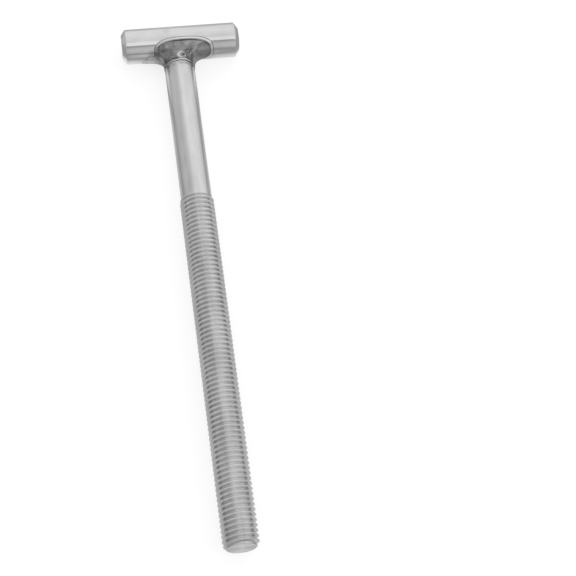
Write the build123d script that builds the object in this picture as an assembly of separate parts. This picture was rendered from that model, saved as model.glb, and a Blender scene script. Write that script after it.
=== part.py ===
from build123d import *
from math import cos, pi, radians, sin, sqrt
import os

# Welded T-bolt: a round shank, threaded over most of its length, with a round cross bar
# welded across its head end. Millimetres, drawn as it lies: the cross bar runs along X,
# the shank runs along -Y to its tip, Z is up, and the origin is where the two axes meet.

# Shank
overall_length = 200.0          # from the back of the cross bar to the tip
shank_diameter = 10.86          # plain length, left at the size that a rolled thread needs
thread_diameter = 12.0          # over the crests
thread_pitch = 1.75
thread_length = 127.5           # from the tip, with its point and its run-out
thread_depth_ratio = 0.61343    # depth of a metric external thread, for each unit of pitch

# Cross bar
bar_diameter = 12.7
bar_length = 43.0
bar_offset = 1.3                # middle of the bar, to +X of the shank's axis
bar_chamfer_along = 1.5
bar_chamfer_across = 2.0

# Weld
weld_leg_on_bar = 7.2           # from the shank outwards along the bar
weld_leg_on_shank = 5.3         # from the bar outwards along the shank
weld_wrap = 76.0                # degrees round the bar, from the shank's direction
weld_lip = 0.15                 # height of the bead over the bar where it ends there
weld_toe = 0.08                 # thickness of the bead where it ends on the shank
weld_slant = 7.5                # degrees that the bead lies aslant the bar, higher at +X
weld_flare = 0.2                # growth in half length for each unit of y over the bar

bar_radius = bar_diameter / 2
shank_radius = shank_diameter / 2
thread_radius = thread_diameter / 2
thread_depth = thread_depth_ratio * thread_pitch
tip_y = bar_radius - overall_length
thread_start_y = tip_y + thread_length


# Turned bar with a broad chamfer at each end.
def make_cross_bar():
    left = bar_offset - bar_length / 2
    right = bar_offset + bar_length / 2
    face_radius = bar_radius - bar_chamfer_across
    outline = Polyline(
        (left, 0),
        (left, face_radius),
        (left + bar_chamfer_along, bar_radius),
        (right - bar_chamfer_along, bar_radius),
        (right, face_radius),
        (right, 0),
        close=True,
    )
    return revolve(make_face(outline), Axis.X)


# Rod of two diameters, pointed at the tip and coped at the head to sit on the cross bar.
def make_threaded_shank():
    run_out = thread_radius - shank_radius
    outline = Polyline(
        (0, 0),
        (shank_radius, 0),
        (shank_radius, thread_start_y),
        (thread_radius, thread_start_y - run_out),
        (thread_radius, tip_y + thread_depth),
        (thread_radius - thread_depth, tip_y),
        (0, tip_y),
        close=True,
    )
    rod = revolve(make_face(outline), Axis.Y)
    cope = Rot(0, 90, 0) * Cylinder(bar_radius, bar_length)
    return rod - cope


# Height of the bead over the shank's axis, rising in a crown towards the bar.
def weld_half_height(y, toe_y, end_y):
    low = shank_radius + weld_toe
    high = (bar_radius + weld_lip) * sin(radians(weld_wrap))
    part_way = (y - toe_y) / (end_y - toe_y)
    return low + (high - low) * sin(pi / 2 * part_way)


# Saddle-shaped fillet: hollow at the sides, where it turns the corner from the shank to
# the bar, and slightly crowned above and below. Each section is an oval across the shank,
# and it turns aslant as it widens, because one pass was laid above and one below.
def make_fillet_weld(bar, shank):
    toe_y = -bar_radius - weld_leg_on_shank
    end_y = -bar_radius * cos(radians(weld_wrap))
    side_width = shank_radius + weld_toe + weld_leg_on_bar
    rows = []
    for turn in (0, 45, 90):
        y = toe_y + weld_leg_on_shank * sin(radians(turn))
        half_width = side_width - weld_leg_on_bar * cos(radians(turn))
        rows.append((y, half_width, weld_slant * sin(radians(turn))))
    rows.append((end_y, side_width + (end_y + bar_radius) * weld_flare, weld_slant))
    ovals = []
    for y, half_width, slant in rows:
        run, rise = cos(radians(slant)), sin(radians(slant))
        top = weld_half_height(y, toe_y, end_y)
        thickness = sqrt(top**2 - (half_width * rise) ** 2) / run
        plane = Plane(origin=(0, y, 0), x_dir=(run, 0, rise), z_dir=(0, 1, 0))
        ovals.append(plane * Ellipse(half_width, thickness))
    return loft(ovals) - bar - shank


cross_bar = make_cross_bar()
threaded_shank = make_threaded_shank()
fillet_weld = make_fillet_weld(cross_bar, threaded_shank)

os.makedirs("parts", exist_ok=True)
export_step(cross_bar, "parts/cross_bar.step")
export_step(threaded_shank, "parts/threaded_shank.step")
export_step(fillet_weld, "parts/fillet_weld.step")
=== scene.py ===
import bmesh
import bpy
from math import atan2, ceil, cos, exp, hypot, pi, radians, sin, sqrt
from mathutils import Matrix, Vector, kdtree, noise


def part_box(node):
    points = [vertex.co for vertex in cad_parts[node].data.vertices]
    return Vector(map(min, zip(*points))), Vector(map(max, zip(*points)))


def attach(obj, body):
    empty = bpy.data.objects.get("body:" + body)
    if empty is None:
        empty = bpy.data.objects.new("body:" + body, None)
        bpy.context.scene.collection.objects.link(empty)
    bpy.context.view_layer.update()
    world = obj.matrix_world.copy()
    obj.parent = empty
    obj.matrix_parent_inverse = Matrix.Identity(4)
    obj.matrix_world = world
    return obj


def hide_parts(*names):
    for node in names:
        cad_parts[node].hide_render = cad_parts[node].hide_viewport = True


# A welded T-bolt lying on a pale table: the thread is grown by Geometry Nodes, the cross
# bar is turned from an outline and the weld bead is laid round the joint.
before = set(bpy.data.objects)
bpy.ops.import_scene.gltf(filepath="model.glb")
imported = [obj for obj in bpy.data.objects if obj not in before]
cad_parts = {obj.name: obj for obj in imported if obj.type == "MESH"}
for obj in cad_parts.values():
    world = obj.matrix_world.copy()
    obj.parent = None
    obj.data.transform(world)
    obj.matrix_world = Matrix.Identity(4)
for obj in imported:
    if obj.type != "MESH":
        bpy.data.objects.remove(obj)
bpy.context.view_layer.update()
mm = 0.001

barLow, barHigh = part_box("cross_bar")
shankLow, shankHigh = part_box("threaded_shank")
beadLow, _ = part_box("fillet_weld")
barRadius = barHigh.z
crestRadius = shankHigh.z
tipY = shankLow.y
floorZ = min(barLow.z, shankLow.z, beadLow.z)


class Wire:
    # a socket of a node tree that can stand in a sum
    def __init__(self, maker, socket):
        self.maker = maker
        self.socket = socket

    def __add__(self, other):
        return self.maker.maths("ADD", self, other)

    def __radd__(self, other):
        return self.maker.maths("ADD", other, self)

    def __sub__(self, other):
        return self.maker.maths("SUBTRACT", self, other)

    def __rsub__(self, other):
        return self.maker.maths("SUBTRACT", other, self)

    def __mul__(self, other):
        return self.maker.maths("MULTIPLY", self, other)

    def __rmul__(self, other):
        return self.maker.maths("MULTIPLY", other, self)

    def __truediv__(self, other):
        return self.maker.maths("DIVIDE", self, other)

    def __rtruediv__(self, other):
        return self.maker.maths("DIVIDE", other, self)

    def __mod__(self, other):
        return self.maker.maths("FLOORED_MODULO", self, other)

    def __rmod__(self, other):
        return self.maker.maths("FLOORED_MODULO", other, self)


class TreeMaker:
    def __init__(self, tree):
        self.tree = tree

    # any node: its settings first, then the values or links of its sockets
    def node(self, kind, settings=None, sockets=None, out=0):
        made = self.tree.nodes.new(kind)
        for name, value in (settings or {}).items():
            setattr(made, name, value)
        for key, value in (sockets or {}).items():
            self.feed(made.inputs[key], value)
        return Wire(self, made.outputs[out] if made.outputs else None)

    def feed(self, socket, value):
        if isinstance(value, Wire):
            self.tree.links.new(value.socket, socket)
        else:
            socket.default_value = value

    def maths(self, operation, *values):
        return self.node("ShaderNodeMath", {"operation": operation}, dict(enumerate(values)))

    def absolute(self, value):
        return self.maths("ABSOLUTE", value)

    def other(self, wire, out):
        return Wire(self, wire.socket.node.outputs[out])

    def smooth(self, value, low, high, start=0.0, end=1.0):
        sockets = {"Value": value, 1: low, 2: high, 3: start, 4: end}
        return self.node("ShaderNodeMapRange", {"interpolation_type": "SMOOTHSTEP"}, sockets)

    # the X, Y and Z of a point on a surface or, when "Generated", of a ray's direction
    def place(self, kind="Object"):
        whole = self.node("ShaderNodeTexCoord", None, None, kind)
        x = self.node("ShaderNodeSeparateXYZ", None, {0: whole})
        return x, self.other(x, 1), self.other(x, 2)


def tidyMesh(mesh, gap=1e-6):
    work = bmesh.new()
    work.from_mesh(mesh)
    bmesh.ops.remove_doubles(work, verts=work.verts, dist=gap)
    bmesh.ops.dissolve_degenerate(work, edges=work.edges, dist=gap)
    bmesh.ops.recalc_face_normals(work, faces=work.faces)
    work.to_mesh(mesh)
    work.free()
    mesh.polygons.foreach_set("use_smooth", [True] * len(mesh.polygons))


# a clean mesh, with the values that its material reads at each point
def meshFrom(name, points, faces, material, pointValues=None):
    mesh = bpy.data.meshes.new(name)
    mesh.from_pydata(points, [], faces)
    for key, values in (pointValues or {}).items():
        mesh.attributes.new(key, "FLOAT", "POINT").data.foreach_set("value", values)
    tidyMesh(mesh)
    mesh.materials.append(material)
    return mesh


def addObject(name, mesh, replacedNode):
    piece = bpy.data.objects.new(name, mesh)
    bpy.context.scene.collection.objects.link(piece)
    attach(piece, "root")
    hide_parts(replacedNode)
    return piece


def newMaterial(name):
    material = bpy.data.materials.new(name)
    material.use_nodes = True
    material.node_tree.nodes.clear()
    return material, TreeMaker(material.node_tree)


def stretchedNoise(maker, stretch, detail, roughness, seed=0.0):
    place = maker.node("ShaderNodeTexCoord", None, None, "Object")
    turned = maker.node("ShaderNodeMapping", None,
                        {"Vector": place, "Location": (seed, seed, seed), "Scale": stretch})
    return maker.node("ShaderNodeTexNoise", None, {
        "Vector": turned,
        "Scale": 1.0,
        "Detail": detail,
        "Roughness": roughness,
    })


# bare metal of this grey tone, with fine grooves
def finishMetal(maker, tone, roughness, strength, height, grooves):
    black, white = (0, 0, 0, 1), (1, 1, 1, 1)
    grey = maker.node("ShaderNodeMix", {"data_type": "RGBA"}, {0: tone, 6: black, 7: white}, 2)
    bump = maker.node("ShaderNodeBump", None,
                      {"Strength": strength, "Distance": height, "Height": grooves})
    shader = maker.node("ShaderNodeBsdfPrincipled", None, {
        "Base Color": grey,
        "Metallic": 1.0,
        "Roughness": roughness,
        "Normal": bump,
    })
    maker.node("ShaderNodeOutputMaterial", None, {"Surface": shader})


bar = {
    "chamferAlong": 1.5 * mm,
    "chamferAcross": 2.0 * mm,
    "edgeRound": 0.18 * mm,
    "segments": 128,
    "lengthRows": 24,
    "dark": 0.58,
    "light": 0.69,
    "streakStretch": (12, 900, 900),
    "cloudStretch": (90, 160, 160),
    "streakShare": 0.45,          # how much of the tone is streaks, the rest being clouds
    "contrast": (0.34, 0.62),     # where that pattern is all dark and all light
    "roughness": 0.13,
    "cloudRoughness": 0.10,
    "streakRoughness": 0.08,
    "streakDepth": 0.10,
    "grooveHeight": 0.04 * mm,
    "markCore": 0.14,             # the full strength's share of a mark's radius
    "darkMarks": [                    # darker places, in millimetres: place, radius, depth; the first two are painted shade in the notch by the weld's lower pool, the third darkens the bar's top beside the bead
        ((-8.7, -6.1, 1.8), 3.6, 0.40),
        ((-10.2, -6.2, 1.2), 1.9, 0.25),
        ((-3.7, 1.8, 6.1), 2.3, 0.13),
    ],
}


def makeBarSteel():
    material, maker = newMaterial("drawnBarSteel")
    streaks = stretchedNoise(maker, bar["streakStretch"], 4.0, 0.6)
    clouds = stretchedNoise(maker, bar["cloudStretch"], 3.0, 0.55, 3.1)
    pattern = streaks * bar["streakShare"] + clouds * (1 - bar["streakShare"])
    tone = bar["dark"] + (bar["light"] - bar["dark"]) * maker.smooth(pattern, *bar["contrast"])
    place = maker.node("ShaderNodeTexCoord", None, None, "Object")
    # painted shade in the notch beside the weld, and a darker patch on the bar's top
    for middle, radius, depth in bar["darkMarks"]:
        apart = maker.node("ShaderNodeVectorMath", {"operation": "DISTANCE"},
                           {0: place, 1: Vector(middle) * mm}, "Value")
        core = bar["markCore"] * radius * mm
        tone = tone * (1 - depth * (1 - maker.smooth(apart, core, radius * mm)))
    rough = bar["roughness"] + (clouds - 0.5) * bar["cloudRoughness"]
    rough = rough + (streaks - 0.5) * bar["streakRoughness"]
    finishMetal(maker, tone, rough, bar["streakDepth"], bar["grooveHeight"], streaks)
    return material


# a corner of an outline, rounded by an arc of a few points
def roundedCorner(before, corner, after, radius, count=4):
    start = corner + (before - corner).normalized() * radius
    end = corner + (after - corner).normalized() * radius
    shares = [k / count for k in range(count + 1)]
    return [start * (1 - t) ** 2 + corner * 2 * t * (1 - t) + end * t ** 2 for t in shares]


def makeCrossBar(steel):
    left, right = barLow.x, barHigh.x
    faceRadius = barRadius - bar["chamferAcross"]
    longStart = Vector((left + bar["chamferAlong"], barRadius))
    longEnd = Vector((right - bar["chamferAlong"], barRadius))
    corners = [
        Vector((left, 0)),
        Vector((left, faceRadius)),
        longStart,
        longEnd,
        Vector((right, faceRadius)),
        Vector((right, 0)),
    ]
    outline = [corners[0], Vector((left, faceRadius * 0.5))]
    for before, corner, after in zip(corners, corners[1:], corners[2:]):
        outline += roundedCorner(before, corner, after, bar["edgeRound"])
        if corner == longStart:
            rounded, rows = outline[-1], bar["lengthRows"]
            outline += [rounded.lerp(longEnd, k / rows) for k in range(1, rows)]
    outline += [Vector((right, faceRadius * 0.5)), corners[-1]]
    points, faces = [], []
    ring = bar["segments"]
    for x, radius in outline:
        for k in range(ring):
            turn = 2 * pi * k / ring
            points.append((x, radius * sin(turn), radius * cos(turn)))
    for row in range(len(outline) - 1):
        for k in range(ring):
            a, b = row * ring + k, row * ring + (k + 1) % ring
            faces.append((a, b, b + ring, a + ring))
    mesh = meshFrom("crossBar", points, faces, steel)
    return addObject("crossBar", mesh, "cross_bar")


shank = {
    "pitch": 1.75 * mm,
    "threadLength": 127.3 * mm,
    "plainRadius": 5.43 * mm,
    "threadDepth": 1.0735 * mm,
    "halfCrest": 0.0625,          # half of a crest's flat, as a share of the pitch
    "tipRound": 0.10 * mm,
    "crestRound": 0.14 * mm,
    "rootRound": 0.30 * mm,
    "runOut": 0.9 * mm,
    "stepsPerTurn": 72,
    "rowsPerTurn": 12,
    "crowding": 0.6,              # how much closer the rows stand at crest and root
    "plainRows": 13,
    "copedRows": 9,
    "rimRows": 4,
    "flatRows": 7,
    "dark": 0.58,
    "light": 0.70,
    "streakStretch": (900, 12, 900),
    "cloudStretch": (260, 60, 260),
    "rootShadeNoiseStretch": (420, 420, 420),
    "dashStretch": (700, 300, 700),
    "streakShare": 0.4,           # how much of the tone is streaks, the rest being clouds
    "contrast": (0.32, 0.66),     # where that pattern is all dark and all light
    "roughness": 0.23,
    "threadRoughness": 0.15,
    "patternRoughness": 0.08,
    "streakDepth": 0.08,
    "grooveHeight": 0.04 * mm,
    "threadGain": 0.05,           # how much brighter the thread is than the plain length
    "crestHighlight": 0.28,           # how much brighter still its crests are: a painted highlight
    "rootShade": 0.20,            # how much darker its roots are: painted shade
    "rimShade": 0.18,             # and how much darker its two sides are: painted shade
    "neckDarkening": 0.30,             # and how much darker the plain length is beside the weld: painted shade, and the broken dark line round the toe
    "onTop": 0.25,                # how much crests and roots differ on top of the shank
    "rimCalm": 0.9,               # how much of the crests' painted highlight is lost at its two sides
    "neckShadeOnTop": 0.15,            # how much of the painted shade beside the weld shows on top
    "rootShadeNoiseBase": 0.5,            # what the noise in the roots' painted shade is added to
    # from where to where each sets in or fades, and then how much there is at either end
    "threadFrom": (65 * mm, 68 * mm),       # where the thread's finish sets in
    "rootRadii": (4.95 * mm, 5.75 * mm),
    "crestRadii": (5.25 * mm, 5.95 * mm),
    "sideFrom": (0.10, 0.60),               # from the top of the shank to its side
    "rimFrom": (0.78, 0.96),
    "lessContrastAlong": (90 * mm, 185 * mm),       # where the crests' painted highlight and the roots' painted shade grow weaker, at +X
    "lessContrastAcross": (-0.1, 0.4, 0.45, 1.0),
    "lessContrastShare": 0.55,
    "neckShadeAcross": (1.5 * mm, 4.8 * mm),
    "neckShadeEnd": (11.6 * mm, 16 * mm),
    "dashStart": (11.9 * mm, 12.2 * mm),    # a broken dark line round the weld's toe
    "dashEnd": (12.5 * mm, 12.9 * mm),
    "dashGaps": (0.40, 0.55),
}


def makeShankSteel():
    material, maker = newMaterial("rolledShankSteel")
    streaks = stretchedNoise(maker, shank["streakStretch"], 4.0, 0.6, 1.7)
    clouds = stretchedNoise(maker, shank["cloudStretch"], 3.0, 0.55, 5.3)
    rootShadeNoise = stretchedNoise(maker, shank["rootShadeNoiseStretch"], 3.0, 0.6, 6.6)
    gaps = stretchedNoise(maker, shank["dashStretch"], 2.0, 0.5, 4.4)
    x, y, z = maker.place()
    along = 0 - y
    radius = maker.maths("SQRT", x * x + z * z)
    threaded = maker.smooth(along, *shank["threadFrom"])

    # painted highlight on the crests and painted shade in the roots, weakest on top and towards the
    # tip at +X
    aside = maker.absolute(x) / radius
    atRim = maker.smooth(aside, *shank["rimFrom"])
    lessContrast = maker.smooth(along, *shank["lessContrastAlong"])
    lessContrast = lessContrast * maker.smooth(x / radius, *shank["lessContrastAcross"])
    onTop, neckShadeOnTop = shank["onTop"], shank["neckShadeOnTop"]
    atSide = onTop + (1 - onTop) * maker.smooth(aside, *shank["sideFrom"])
    atSide = atSide * (1 - shank["lessContrastShare"] * lessContrast)
    root = threaded * atSide * (1 - maker.smooth(radius, *shank["rootRadii"]))
    root = root * (shank["rootShadeNoiseBase"] + rootShadeNoise)
    crest = threaded * atSide * maker.smooth(radius, *shank["crestRadii"])
    crest = crest * (1 - shank["rimCalm"] * atRim)

    # painted shade beside the weld, strongest at the shank's two sides, and the broken dark line
    # round the weld's toe
    neckShadeAndDashes = maker.smooth(maker.absolute(x), *shank["neckShadeAcross"])
    neckShadeAndDashes = neckShadeOnTop + (1 - neckShadeOnTop) * neckShadeAndDashes
    neckShadeAndDashes = neckShadeAndDashes * (1 - maker.smooth(along, *shank["neckShadeEnd"]))
    dashes = maker.smooth(along, *shank["dashStart"])
    dashes = dashes * (1 - maker.smooth(along, *shank["dashEnd"]))
    neckShadeAndDashes = neckShadeAndDashes + dashes * maker.smooth(gaps, *shank["dashGaps"])

    pattern = streaks * shank["streakShare"] + clouds * (1 - shank["streakShare"])
    tone = maker.smooth(pattern, *shank["contrast"])
    tone = shank["dark"] + (shank["light"] - shank["dark"]) * tone
    # painted shade on the thread's sides and roots and beside the weld, and a painted highlight on
    # the crests
    tone = tone * (1 + threaded * (shank["threadGain"] - shank["rimShade"] * atRim))
    tone = tone * (1 + crest * shank["crestHighlight"]) * (1 - root * shank["rootShade"])
    tone = tone * (1 - neckShadeAndDashes * shank["neckDarkening"])
    rough = shank["roughness"] + (shank["threadRoughness"] - shank["roughness"]) * threaded
    rough = rough + (clouds - 0.5) * shank["patternRoughness"]
    rough = rough + (streaks - 0.5) * shank["patternRoughness"]
    finishMetal(maker, tone, rough, shank["streakDepth"], shank["grooveHeight"], streaks)
    return material


def addInput(tree, name, kind):
    return tree.interface.new_socket(name, in_out="INPUT", socket_type=kind).identifier


def makeThreadTree():
    tree = bpy.data.node_groups.new("growThreadedShank", "GeometryNodeTree")
    for way in ("INPUT", "OUTPUT"):
        tree.interface.new_socket("Geometry", in_out=way, socket_type="NodeSocketGeometry")
    sizes = {
        "Tip": tipY,
        "Thread Start": tipY + shank["threadLength"],
        "Pitch": shank["pitch"],
        "Crest Radius": crestRadius,
        "Root Radius": crestRadius - shank["threadDepth"],
        "Plain Radius": shank["plainRadius"],
        "Bar Radius": barRadius,
        "Tip Round": shank["tipRound"],
        "Crest Round": shank["crestRound"],
        "Root Round": shank["rootRound"],
        "Run Out": shank["runOut"],
        "Crowding": shank["crowding"],
    }
    counts = {
        "Steps Per Turn": shank["stepsPerTurn"],
        "Rows Per Turn": shank["rowsPerTurn"],
        "Turns": ceil(shank["threadLength"] / shank["pitch"]) + 2,
    }
    values = {addInput(tree, name, "NodeSocketFloat"): value for name, value in sizes.items()}
    values.update({addInput(tree, name, "NodeSocketInt"): value for name, value in counts.items()})
    steelSocket = addInput(tree, "Steel", "NodeSocketMaterial")
    maker = TreeMaker(tree)
    given = maker.node("NodeGroupInput")
    take = {s.name: Wire(maker, s) for s in given.socket.node.outputs if s.name}
    steps = take["Steps Per Turn"]
    index = maker.node("GeometryNodeInputIndex")

    # a point at this angle, this far out and this far along
    def spot(angle, radius, along):
        across = 0 - radius * maker.maths("SINE", angle)
        height = radius * maker.maths("COSINE", angle)
        return maker.node("ShaderNodeCombineXYZ", None, {0: across, 1: along, 2: height})

    # a sheet of so many columns and rows, with each point moved to its spot
    def sheet(columns, rows, place):
        sockets = {"Size X": 1.0, "Size Y": 1.0, "Vertices X": columns, "Vertices Y": rows}
        flat = maker.node("GeometryNodeMeshGrid", None, sockets)
        return maker.node("GeometryNodeSetPosition", None, {"Geometry": flat, "Position": place})

    # a point's row in its sheet, its column and the column's angle round the shank
    def rowAndAngle(rows):
        column = maker.maths("FLOOR", index / rows)
        return index % rows, column, column % steps * (2 * pi) / steps

    # where the shank's end meets the bar, for a point at this radius and angle
    def saddleAt(radius, angle):
        level = radius * maker.maths("COSINE", angle)
        return 0 - maker.maths("SQRT", take["Bar Radius"] * take["Bar Radius"] - level * level)

    # the thread: one long strip, a pitch wide, wound round and round and welded to itself
    rows = take["Rows Per Turn"] + 1
    row, column, angle = rowAndAngle(rows)
    share = row / take["Rows Per Turn"]
    share = share - take["Crowding"] * maker.maths("SINE", share * (4 * pi)) / (4 * pi)
    fromCrest = 0.5 - maker.absolute(0.5 - share)
    flank = (shank["halfCrest"] - fromCrest) * take["Pitch"] * sqrt(3)
    ridge = take["Crest Radius"] + flank
    ridge = maker.maths("SMOOTH_MAX", ridge, take["Root Radius"], take["Root Round"])
    ridge = maker.maths("SMOOTH_MIN", ridge, take["Crest Radius"], take["Crest Round"])
    along = take["Thread Start"] + take["Pitch"] - take["Pitch"] * (column / steps + share)
    tipEdge = take["Tip"] + take["Tip Round"]
    along = maker.maths("MAXIMUM", along, tipEdge)
    along = maker.maths("MINIMUM", along, take["Thread Start"])
    rise = maker.smooth(take["Thread Start"] - along, 0.0, take["Run Out"])
    ridge = take["Plain Radius"] + (ridge - take["Plain Radius"]) * rise
    tipFlat = take["Root Radius"] - take["Tip Round"]
    cone = tipFlat + (along - take["Tip"])
    ridge = maker.maths("MINIMUM", ridge, cone)
    thread = sheet(take["Turns"] * steps + 1, rows, spot(angle, ridge, along))

    # the plain length, from the thread to the saddle where it meets the cross bar
    rows = shank["plainRows"]
    row, _, angle = rowAndAngle(rows)
    saddle = saddleAt(take["Plain Radius"], angle)
    along = take["Thread Start"] + (saddle - take["Thread Start"]) * (row / (rows - 1))
    plain = sheet(steps + 1, rows, spot(angle, take["Plain Radius"], along))

    # the coped end, on the cross bar
    rows = shank["copedRows"]
    row, _, angle = rowAndAngle(rows)
    radius = take["Plain Radius"] * (1 - row / (rows - 1))
    coped = sheet(steps + 1, rows, spot(angle, radius, saddleAt(radius, angle)))

    # the flat of the tip, with a small round at its rim
    rimRows, flatRows = shank["rimRows"], shank["flatRows"]
    row, _, angle = rowAndAngle(rimRows + flatRows)
    bend = maker.maths("MINIMUM", row / (rimRows - 1), 1.0) * (pi / 2)
    inward = maker.maths("MAXIMUM", (row - (rimRows - 1)) / flatRows, 0.0)
    rimRadius = tipFlat + take["Tip Round"] * maker.maths("COSINE", bend)
    along = tipEdge - take["Tip Round"] * maker.maths("SINE", bend)
    tip = sheet(steps + 1, rimRows + flatRows, spot(angle, rimRadius * (1 - inward), along))

    joined = maker.node("GeometryNodeJoinGeometry")
    for part in (thread, plain, coped, tip):
        tree.links.new(part.socket, joined.socket.node.inputs[0])
    merged = maker.node("GeometryNodeMergeByDistance", None, {"Geometry": joined, "Distance": 2e-6})
    real = maker.node("GeometryNodeRealizeInstances", None, {"Geometry": merged})
    steeled = maker.node("GeometryNodeSetMaterial", None,
                         {"Geometry": real, "Material": take["Steel"]})
    maker.node("NodeGroupOutput", None, {0: steeled})
    return tree, values, steelSocket


def makeThreadedShank(steel):
    tree, values, steelSocket = makeThreadTree()
    seed = bpy.data.objects.new("shankSeed", bpy.data.meshes.new("shankSeed"))
    bpy.context.scene.collection.objects.link(seed)
    modifier = seed.modifiers.new("grow", "NODES")
    modifier.node_group = tree
    for identifier, value in values.items():
        modifier[identifier] = value
    modifier[steelSocket] = steel
    graph = bpy.context.evaluated_depsgraph_get()
    mesh = bpy.data.meshes.new_from_object(seed.evaluated_get(graph))
    seed.modifiers.remove(modifier)
    bpy.data.objects.remove(seed)
    mesh.name = "threadedRod"
    tidyMesh(mesh)
    return addObject("threadedRod", mesh, "threaded_shank")


bead = {
    "middle": 2.2 * mm,           # where the upper pool is centred, along X
    "reach": 11.0 * mm,           # half its length along the bar
    "climb": 27.3,                # degrees round the bar to its middle
    "spread": 51.6,               # degrees round the bar from its middle to its edge
    "squareness": 2.7,            # 2 is an ellipse, more is boxier
    "startLean": -93.4,           # where round its oval the pool starts and ends, in degrees
    "endLean": 149.9,
    "fadeRate": 6,                # its lip fades over one part in so many, at each end
    "legOnShank": 5.5 * mm,
    "legTilt": 0.35 * mm,         # how much longer it is on the +X side
    "hollow": 0.16,               # 0 hugs the corner, 1 is a flat fillet
    "hollowLoss": 1.5,            # how much of that goes near the pool's end
    "lossLean": 105,              # and where round its oval, in degrees
    "lossSpread": 40,
    "crownDrop": 0.095,           # how much flatter the bead is above and below the shank
    "lipHeight": 0.08 * mm,       # the raised lip along the edge
    "lipWidth": 1.15 * mm,
    "lipWidthAtEnd": 1.25 * mm,
    "fadedLipHighlight": 0.3,           # how much of its painted highlight is left where it fades
    # places and widths from the edge inward, as shares of the lip's width
    "lipTop": (0.52, 0.32),
    "lipFoot": (0.07, 0.15),
    "groovePlace": 1.22,
    "grooveWidth": 0.26,
    "grooveLoss": 0.09,           # how much narrower the groove is at the pool's end
    "insideFrom": 1.5,            # where the waves and the unevenness begin
    "footShade": 0.5,             # painted shade where the lip meets the bar
    "grooveDepth": 0.26 * mm,
    "startCalm": (0.8, 0.5),      # how much groove and the lip's painted highlight lose at the pool's start
    "endCalm": (0.45, 0.15),      # and at its end
    "flowRipple": 0.030 * mm,     # frozen waves inside the groove
    "flowPitch": 0.80 * mm,
    "flowReach": 2.8 * mm,
    "flowDrift": 1.6,             # how far noise shifts them, in radians
    # painted shade on the frozen waves
    "flowShade": 0.40,
    "unevenness": 0.12 * mm,
    "driftScale": 420,            # the noises' scales, more is finer
    "unevenScale": 330,
    "wanderScale": 650,
    "patchScale": 500,
    "toeRipple": 0.15 * mm,       # two rings where the bead ends on the shank
    "toeWander": 0.20 * mm,
    # the rings' painted highlight, strongest above and below the shank
    "toeHighlight": 0.9,
    "toePatches": (0.8, 0.9),     # how much of that shows, and how much noise varies it
    # distance from the toe, share of the leg's tilt, width, and the soot's depth
    "toeRings": [(0.25 * mm, 0.0, 0.24 * mm), (1.15 * mm, 1.0, 0.22 * mm)],
    "toeSoot": [(0.68 * mm, 0.5, 0.20 * mm, 0.8), (1.75 * mm, 1.0, 0.28 * mm, 0.7)],
    "sideShade": 0.75,             # painted shade at the shank's two sides
    "sideReach": 3.2 * mm,
    "clearSlope": 0.12,           # how fast the least height over the bar rises inward
    "clearReach": 1.5 * mm,
    "softSlope": 0.2,             # how gently a hollow meets that least height
    "softReach": 1.0 * mm,
    "sink": 0.35 * mm,            # how deep the bead's back lies in the bar
    "sinkInShank": 1.6,           # and how many times as deep in the shank
    "around": 600,
    "across": 100,
    "spur": ((-10.0, -6.5, -1.0), 3.0),     # where the groove is filled, with a painted highlight
    "ringWidth": 0.30,            # as a share of a ring's radius
    "ringHollow": (0.6, 0.6),     # its depth as a share of the rise, its width of the radius
    "ringStretch": 0.7,           # what distances are multiplied by on a ring's -X side
    # frozen marks, in millimetres: place, radius, rise, painted highlight, and darkening that is
    # soot, or painted shade at the bead's left end by the bar
    "rings": [
        ((1.15, -9.0, 5.97), 1.10, 0.20, 0.9, 0.0),
        ((3.2, -7.36, 5.54), 0.75, 0.16, 0.15, 0.75),
    ],
    "blots": [
        ((1.5, -9.0, 5.98), 0.35, -0.15, 0.0, 0.9),
        ((2.15, -9.7, 5.85), 0.42, 0.10, 0.8, 0.0),
        ((3.2, -7.36, 5.54), 0.30, -0.05, 0.0, 0.6),
        ((4.3, -8.0, 4.75), 0.42, 0.08, 0.55, 0.0),
        ((5.1, -6.7, 4.75), 0.33, 0.05, 0.45, 0.0),
        ((6.0, -7.45, 3.0), 0.40, 0.05, 0.35, 0.0),
        ((3.0, -9.55, 5.2), 0.40, -0.03, 0.0, 0.8),
        ((-4.3, -4.85, 5.4), 0.55, 0.05, 0.40, 0.0),
        ((3.2, -4.6, 6.1), 1.4, 0.0, 0.12, 0.0),
        ((5.0, -6.5, 5.45), 0.8, -0.06, 0.0, 0.7),
        ((4.5, -9.3, 4.3), 1.5, 0.0, 0.0, 0.35),
        ((-5.8, -5.9, 4.4), 0.9, -0.05, 0.0, 0.5),
        ((8.0, -6.3, 3.6), 3.0, 0.0, 0.14, 0.0),
        ((-7.4, -6.2, 2.9), 1.5, 0.0, 0.0, 0.45),
        ((-8.5, -5.9, 2.7), 1.2, 0.0, 0.0, 0.5),
        ((9.2, -6.6, 1.2), 2.4, 0.0, 0.12, 0.0),
    ],
    "dark": 0.19,
    "light": 0.35,
    "bareAndHighlight": 0.78,                 # the tone where the metal is bare or a highlight is painted
    "sootAndShade": 0.94,                 # how much of the tone soot and painted shade take away
    "blotchStretch": (300, 420, 420),
    "fineStretch": (1800, 1800, 1800),
    "blotchShare": 0.6,           # how much of the grain is blotches, the rest being fine
    "contrast": (0.36, 0.64),     # where the grain is all dark and all light
    "roughness": 0.25,
    "fineRoughness": 0.2,
    "grain": 0.12,
    "grainHeight": 0.1 * mm,
}


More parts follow.
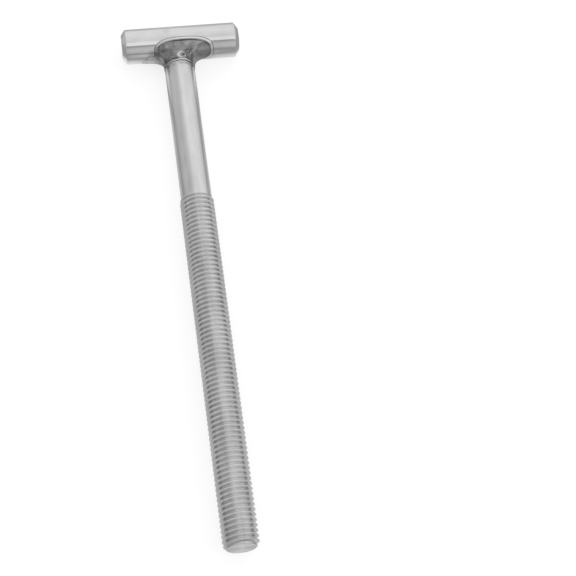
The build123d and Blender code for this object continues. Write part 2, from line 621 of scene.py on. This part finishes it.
def makeWeldMetal():
    material, maker = newMaterial("asWeldedMetal")
    blotches = stretchedNoise(maker, bead["blotchStretch"], 4.0, 0.6, 2.2)
    fine = stretchedNoise(maker, bead["fineStretch"], 3.0, 0.5, 7.9)
    grain = blotches * bead["blotchShare"] + fine * (1 - bead["blotchShare"])
    # the first attribute holds bare metal and painted highlights, the second soot and painted shade
    bareAndHighlight = maker.node("ShaderNodeAttribute", {"attribute_name": "barenessAndHighlight"}, None, "Fac")
    sootAndShade = maker.node("ShaderNodeAttribute", {"attribute_name": "sootinessAndShade"}, None, "Fac")
    tone = maker.smooth(grain, *bead["contrast"])
    tone = bead["dark"] + (bead["light"] - bead["dark"]) * tone
    tone = tone * (1 - sootAndShade * bead["sootAndShade"])
    tone = tone + (bead["bareAndHighlight"] - tone) * bareAndHighlight
    rough = bead["roughness"] + (fine - 0.5) * bead["fineRoughness"]
    finishMetal(maker, tone, rough, bead["grain"], bead["grainHeight"], grain)
    return material


def hump(distance, width):
    return exp(-(distance / width) ** 2)


def boxed(value):
    return (1 if value > 0 else -1) * abs(value) ** (2 / bead["squareness"])


# The bead is two pools, the upper one and, half a turn round the shank, the same again
# below. Each edge point is a distance along the bar and an angle round it.
def poolEdge(turn):
    over = (turn + pi / 2) % (2 * pi) - pi / 2
    below = over >= pi / 2
    share = (over - (pi if below else 0)) / pi + 0.5
    lean = radians(bead["startLean"] + (bead["endLean"] - bead["startLean"]) * share)
    x = bead["middle"] + bead["reach"] * boxed(sin(lean))
    wrap = radians(bead["climb"] + bead["spread"] * boxed(cos(lean)))
    rate = bead["fadeRate"]
    fade = sin(min(1.0, rate * share, rate - rate * share) * pi / 2)
    return (-x, -wrap, lean, fade) if below else (x, wrap, lean, fade)


# one line of the fillet: distances along the bar, turns round it and radii from its axis
def beadLine(turn):
    plain = shank["plainRadius"]
    side, level = plain * sin(turn), plain * cos(turn)
    toeY = barRadius + bead["legOnShank"] + bead["legTilt"] * sin(turn)
    toe = Vector((side, atan2(level, toeY), hypot(level, toeY)))
    corner = Vector((side, atan2(level, sqrt(barRadius ** 2 - level ** 2)), barRadius))
    x, wrap, lean, _ = poolEdge(turn)
    edge = Vector((x, wrap, barRadius))
    loss = hump(lean - radians(bead["lossLean"]), radians(bead["lossSpread"]))
    hollow = bead["hollow"] * (1 - bead["hollowLoss"] * loss)
    return toe, corner.lerp((toe + edge) / 2, hollow), edge


def onBar(spot):
    return Vector((spot.x, -spot.z * cos(spot.y), spot.z * sin(spot.y)))


# a point of that line, on a crown that is lower above and below the shank
def bent(toe, pull, edge, t):
    point = onBar(toe * (1 - t) ** 2 + pull * 2 * t * (1 - t) + edge * t ** 2)
    level = abs(toe.z * sin(toe.y)) / shank["plainRadius"]
    point.z *= 1 - bead["crownDrop"] * 4 * t * (1 - t) * level ** 2
    return point


# how far the surface stands out, how bright it is painted, as bare metal or a painted highlight,
# and how dark, with soot or painted shade
def beadRelief(point, turn, fromToe, fromEdge):
    _, _, lean, fade = poolEdge(turn)
    atStart = max(0.0, -sin(lean))
    atEnd = max(0.0, sin(lean)) ** 2 * fade

    # the lip, the groove inside it and the waves inside that
    lip = bead["lipWidth"] + (bead["lipWidthAtEnd"] - bead["lipWidth"]) * atEnd
    rim, foot = [hump(fromEdge - place * lip, width * lip)
                 for place, width in (bead["lipTop"], bead["lipFoot"])]
    grooveWidth = (bead["grooveWidth"] - bead["grooveLoss"] * atEnd) * lip
    groove = hump(fromEdge - bead["groovePlace"] * lip, grooveWidth)
    mark, highlight = [1 - atStart * lost - atEnd * gone
                   for lost, gone in zip(bead["startCalm"], bead["endCalm"])]
    inside = 1 - hump(fromEdge, bead["insideFrom"] * lip)
    drift = noise.noise(point * bead["driftScale"]) * bead["flowDrift"]
    wave = sin(fromEdge / bead["flowPitch"] * 2 * pi + drift)
    flow = wave * inside * exp(-fromEdge / bead["flowReach"])
    height = (bead["lipHeight"] * rim - bead["grooveDepth"] * groove * mark) * fade
    height += bead["flowRipple"] * flow
    uneven = noise.noise(point * bead["unevenScale"] + Vector((3, 1, 7)))
    height += bead["unevenness"] * uneven * inside
    # the lip is painted bright, a highlight; the groove is darkened by oxide, the waves and the
    # lip's foot by painted shade
    bareAndHighlight = rim * highlight * (bead["fadedLipHighlight"] + (1 - bead["fadedLipHighlight"]) * fade)
    sootAndShade = max(groove * mark, bead["flowShade"] * flow, bead["footShade"] * foot)

    height, bareAndHighlight, sootAndShade = toeRelief(point, turn, fromToe, height, bareAndHighlight, sootAndShade)
    place, radius = bead["spur"]
    spur = hump((point / mm - Vector(place)).length, radius)
    height += bead["grooveDepth"] * groove * mark * spur * fade
    return frozenMarks(point, height, max(bareAndHighlight, spur), sootAndShade * (1 - spur))


# the rings where the bead ends on the shank, with a painted highlight on them, soot between and
# beyond them, and painted shade at the shank's two sides
def toeRelief(point, turn, fromToe, height, bareAndHighlight, sootAndShade):
    atSide = abs(sin(turn)) ** 4
    sootAndShade = max(sootAndShade, bead["sideShade"] * hump(fromToe, bead["sideReach"]) * atSide)
    tilt = bead["legTilt"] * sin(turn)
    fromToe += bead["toeWander"] * noise.noise(point * bead["wanderScale"])
    patches = noise.noise(point * bead["patchScale"] + Vector((9, 2, 4)))
    level, swing = bead["toePatches"]
    patchy = min(1.0, level + swing * patches)
    for place, slant, width in bead["toeRings"]:
        ring = hump(fromToe - (place + tilt * slant), width)
        height += bead["toeRipple"] * ring
        bareAndHighlight = max(bareAndHighlight, bead["toeHighlight"] * patchy * ring * abs(cos(turn)))
    for place, slant, width, depth in bead["toeSoot"]:
        sootAndShade = max(sootAndShade, depth * hump(fromToe - place - tilt * slant, width))
    return height, bareAndHighlight, sootAndShade


# small rings, with a painted highlight on one side and hollow within, and round blots of painted
# highlight, soot or painted shade
def frozenMarks(point, height, bareAndHighlight, sootAndShade):
    depth, width = bead["ringHollow"]
    for place, radius, rise, highlight, smoke in bead["rings"]:
        reach = point / mm - Vector(place)
        reach.x *= bead["ringStretch"] if reach.x < 0 else 1.0
        crest = hump(reach.length - radius, bead["ringWidth"] * radius)
        height += rise * mm * (crest - depth * hump(reach.length, width * radius))
        bareAndHighlight = max(bareAndHighlight, highlight * crest * (0.5 - 0.5 * reach.x / max(reach.length, 0.01)))
        bareAndHighlight *= 1 - smoke * crest
        sootAndShade = max(sootAndShade, smoke * crest)
    for place, radius, rise, highlight, smoke in bead["blots"]:
        crest = hump((point / mm - Vector(place)).length, radius)
        height += rise * mm * crest
        bareAndHighlight = max(bareAndHighlight, highlight * crest) * (1 - smoke * crest)
        sootAndShade = max(sootAndShade, smoke * crest)
    return height, bareAndHighlight, min(1.0, sootAndShade)


# the bead's edge on the bar, to find how far inside it a point is
def beadRim(count):
    tree = kdtree.KDTree(count)
    for k in range(count):
        tree.insert(onBar(beadLine(2 * pi * k / count)[2]), k)
    tree.balance()
    return tree


# keeps the hollows of the relief just clear of the cross bar
def aboveBar(point, fromEdge):
    radius = hypot(point.y, point.z)
    least = barRadius + bead["clearSlope"] * min(fromEdge, bead["clearReach"])
    soft = bead["softSlope"] * min(fromEdge, bead["softReach"])
    grow = (radius + least + hypot(radius - least, soft)) / 2 / radius
    return Vector((point.x, point.y * grow, point.z * grow))


# the bead's back, out of sight inside the bar and the shank
def sunk(turn, t):
    place = bent(*beadLine(turn), t)
    place = place - place.normalized() * bead["sink"]
    shrink = 1 - bead["sink"] * bead["sinkInShank"] / shank["plainRadius"] * (1 - t)
    return Vector((place.x * shrink, place.y, place.z * shrink))


def makeWeldBead(metal):
    around, across = bead["around"], bead["across"]
    steps = [0.5 - 0.5 * cos(pi * j / (across - 1)) for j in range(across)]
    backSteps = (1.0, 0.75, 0.5, 0.25, 0.0)
    nudge = 0.01
    rimTree = beadRim(4 * around)
    points, barenessAndHighlight, sootinessAndShade = [], [], []
    for k in range(around):
        turn = 2 * pi * k / around
        line = [bent(*beadLine(turn), t) for t in steps]
        beside = [bent(*beadLine(turn + nudge), t) for t in steps]
        gone = [0.0]
        for before, after in zip(line, line[1:]):
            gone.append(gone[-1] + (after - before).length)
        for j, point in enumerate(line):
            ahead = line[min(j + 1, across - 1)] - line[max(j - 1, 0)]
            outward = (beside[j] - point).cross(ahead).normalized()
            fromEdge = rimTree.find(point)[2]
            height, bareAndHighlight, sootAndShade = beadRelief(point, turn, gone[j], fromEdge)
            points.append(aboveBar(point + outward * height, fromEdge))
            barenessAndHighlight.append(bareAndHighlight)
            sootinessAndShade.append(sootAndShade)
        points += [sunk(turn, t) for t in backSteps]
        barenessAndHighlight += [0.0] * len(backSteps)
        sootinessAndShade += [0.0] * len(backSteps)
    loop = across + len(backSteps)
    faces = []
    for k in range(around):
        here, there = k * loop, (k + 1) % around * loop
        for j in range(loop):
            after = (j + 1) % loop
            faces.append((here + j, here + after, there + after, there + j))
    pointValues = {"barenessAndHighlight": barenessAndHighlight, "sootinessAndShade": sootinessAndShade}
    mesh = meshFrom("weldBead", points, faces, metal, pointValues)
    return addObject("weldBead", mesh, "fillet_weld")


studio = {
    "floorSize": 8.0,
    "floorTone": 0.32,
    "floorGlow": 0.78,            # what the floor adds where it is seen, so that it shows white
    "glowInMetal": 0.19,          # what it adds in the steel's reflections
    "glowBeneath": 0.60,          # and adds there close under the bar: a painted glow, seen only in reflections
    "glowByShank": 0.36,          # and close under the shank
    "glowBehind": 0.24,           # and behind the bar
    # from where to where each sets in or fades, and then how much there is at either end
    "barGlow": (5.5 * mm, 19 * mm),         # how that fades away from the bar's axis
    "barMiddle": (7 * mm, 17 * mm, 0.35, 1.0),
    "barEnds": (24 * mm, 30 * mm),
    "shankGlow": (5.0 * mm, 26 * mm),       # and from the shank's
    "shankHead": (12 * mm, 32 * mm),
    "shankTip": (198 * mm, 208 * mm),
    "behindBar": (12 * mm, 40 * mm),
    "tentLeft": 0.66,             # the light tent's brightness on its dimmer side
    "tentRight": 1.01,            # and on its brighter side
    "tentTurn": (-0.54, -0.02),   # where one side turns into the other
    "farRightDip": 0.22,          # how much the cloth dims at its far right
    "farRight": (0.70, 0.95),
    "topDip": 0.10,               # and overhead
    "overhead": (0.0, 0.62),
    "tentFront": 0.65,            # the open side, behind the camera
    "frontRight": 0.09,           # and what it gains towards the right
    "rightHalf": (0.05, 0.12),
    "tentFoot": 0.52,             # how far the open side darkens towards its foot
    "footHeight": (0.0, 0.32),
    "opening": (-0.505, -0.475),  # where the cloth begins
    "stripGain": 0.22,            # a strip of light along the top of the opening
    "stripStart": (-0.50, -0.44),
    "stripEnd": (-0.22, -0.08),
    "edgeShade": 0.30,            # the dark hem of the opening
    "hem": (-0.74, -0.56),
}


def makeFloor():
    half = studio["floorSize"] / 2
    corners = [(-half, -half, floorZ), (half, -half, floorZ),
               (half, half, floorZ), (-half, half, floorZ)]
    mesh = bpy.data.meshes.new("tableTop")
    mesh.from_pydata(corners, [], [(0, 1, 2, 3)])
    material, maker = newMaterial("palePaper")
    path = maker.node("ShaderNodeLightPath")
    x, y, _ = maker.place()
    across, along = maker.absolute(x), 0 - y
    # a painted glow on the floor close under the bolt, seen only in the steel's reflections
    nearBar = 1 - maker.smooth(maker.absolute(along), *studio["barGlow"])
    nearBar = nearBar * maker.smooth(across, *studio["barMiddle"])
    nearBar = nearBar * (1 - maker.smooth(across, *studio["barEnds"]))
    nearShank = 1 - maker.smooth(across, *studio["shankGlow"])
    nearShank = nearShank * maker.smooth(along, *studio["shankHead"])
    nearShank = nearShank * (1 - maker.smooth(along, *studio["shankTip"]))
    underBar, underShank = nearBar * studio["glowBeneath"], nearShank * studio["glowByShank"]
    beneath = maker.maths("MAXIMUM", underBar, underShank)
    behind = maker.smooth(0 - along, *studio["behindBar"]) * studio["glowBehind"]
    inMetal = maker.other(path, "Is Glossy Ray") * (studio["glowInMetal"] + beneath + behind)
    seen, through = maker.other(path, "Is Camera Ray"), maker.other(path, "Is Transmission Ray")
    glowing = maker.maths("MAXIMUM", seen, through) * studio["floorGlow"] + inMetal
    tone = studio["floorTone"]
    paper = maker.node("ShaderNodeBsdfDiffuse", None, {"Color": (tone, tone, tone, 1)})
    glow = maker.node("ShaderNodeEmission", None, {"Color": (1, 1, 1, 1), "Strength": glowing})
    both = maker.node("ShaderNodeAddShader", None, {0: paper, 1: glow})
    maker.node("ShaderNodeOutputMaterial", None, {"Surface": both})
    mesh.materials.append(material)
    floorPiece = bpy.data.objects.new("tableTop", mesh)
    bpy.context.scene.collection.objects.link(floorPiece)


# a light tent round the table: brighter on the right, open at the front, dimmer at its foot
def makeWorld():
    world = bpy.data.worlds.new("lightTent")
    bpy.context.scene.world = world
    world.use_nodes = True
    world.node_tree.nodes.clear()
    maker = TreeMaker(world.node_tree)
    x, y, z = maker.place("Generated")
    left, right = studio["tentLeft"], studio["tentRight"]
    cloth = left + (right - left) * maker.smooth(x, *studio["tentTurn"])
    cloth = cloth * (1 - studio["farRightDip"] * maker.smooth(x, *studio["farRight"]))
    cloth = cloth * (1 - studio["topDip"] * (1 - maker.smooth(y, *studio["overhead"])))
    strip = maker.smooth(y, *studio["stripStart"])
    strip = strip * (1 - maker.smooth(y, *studio["stripEnd"]))
    behind = maker.smooth(y, *studio["opening"])
    hem = maker.smooth(y, *studio["hem"]) * (1 - behind)
    foot = maker.smooth(z, *studio["footHeight"])
    foot = studio["tentFoot"] + (1 - studio["tentFoot"]) * foot
    toRight = maker.smooth(x, *studio["rightHalf"]) * studio["frontRight"]
    opening = studio["tentFront"] * foot + toRight - studio["edgeShade"] * hem
    light = opening + (cloth + studio["stripGain"] * strip - opening) * behind
    sky = maker.node("ShaderNodeBackground", None, {"Color": (1, 1, 1, 1), "Strength": light})
    maker.node("ShaderNodeOutputWorld", None, {"Surface": sky})


cameraView = {
    "azimuth": 16.0,
    "elevation": 62.86,
    "roll": 9.11,
    "distance": 547.1 * mm,
    "target": (27.2 * mm, -104.0 * mm, 0.0),
    "lens": 100.0,
    "sensor": 36.0,
    "nearest": 0.01,
    "farthest": 20.0,
}


def makeCamera():
    azimuth, elevation = radians(cameraView["azimuth"]), radians(cameraView["elevation"])
    roll = radians(cameraView["roll"])
    level = Vector((cos(azimuth), -sin(azimuth), 0))
    flat = cos(elevation)
    forward = Vector((sin(azimuth) * flat, cos(azimuth) * flat, -sin(elevation)))
    steep = level.cross(forward)
    rightward = level * cos(roll) + steep * sin(roll)
    upward = steep * cos(roll) - level * sin(roll)
    camera = bpy.data.cameras.new("studioCamera")
    camera.lens = cameraView["lens"]
    camera.sensor_width = cameraView["sensor"]
    camera.clip_start = cameraView["nearest"]
    camera.clip_end = cameraView["farthest"]
    rig = bpy.data.objects.new("studioCamera", camera)
    bpy.context.scene.collection.objects.link(rig)
    place = Vector(cameraView["target"]) - forward * cameraView["distance"]
    turned = Matrix((rightward, upward, -forward)).transposed().to_4x4()
    rig.matrix_world = Matrix.Translation(place) @ turned
    bpy.context.scene.camera = rig


shankSteel = makeShankSteel()
barSteel = makeBarSteel()
weldMetal = makeWeldMetal()
print("finishes ready")
threadedRod = makeThreadedShank(shankSteel)
print("threaded shank ready,", len(threadedRod.data.polygons), "faces")
crossBar = makeCrossBar(barSteel)
print("cross bar ready,", len(crossBar.data.polygons), "faces")
weldBead = makeWeldBead(weldMetal)
print("weld bead ready,", len(weldBead.data.polygons), "faces")
makeFloor()
makeWorld()
makeCamera()
bpy.context.scene.view_settings.view_transform = "Standard"
print("studio ready")
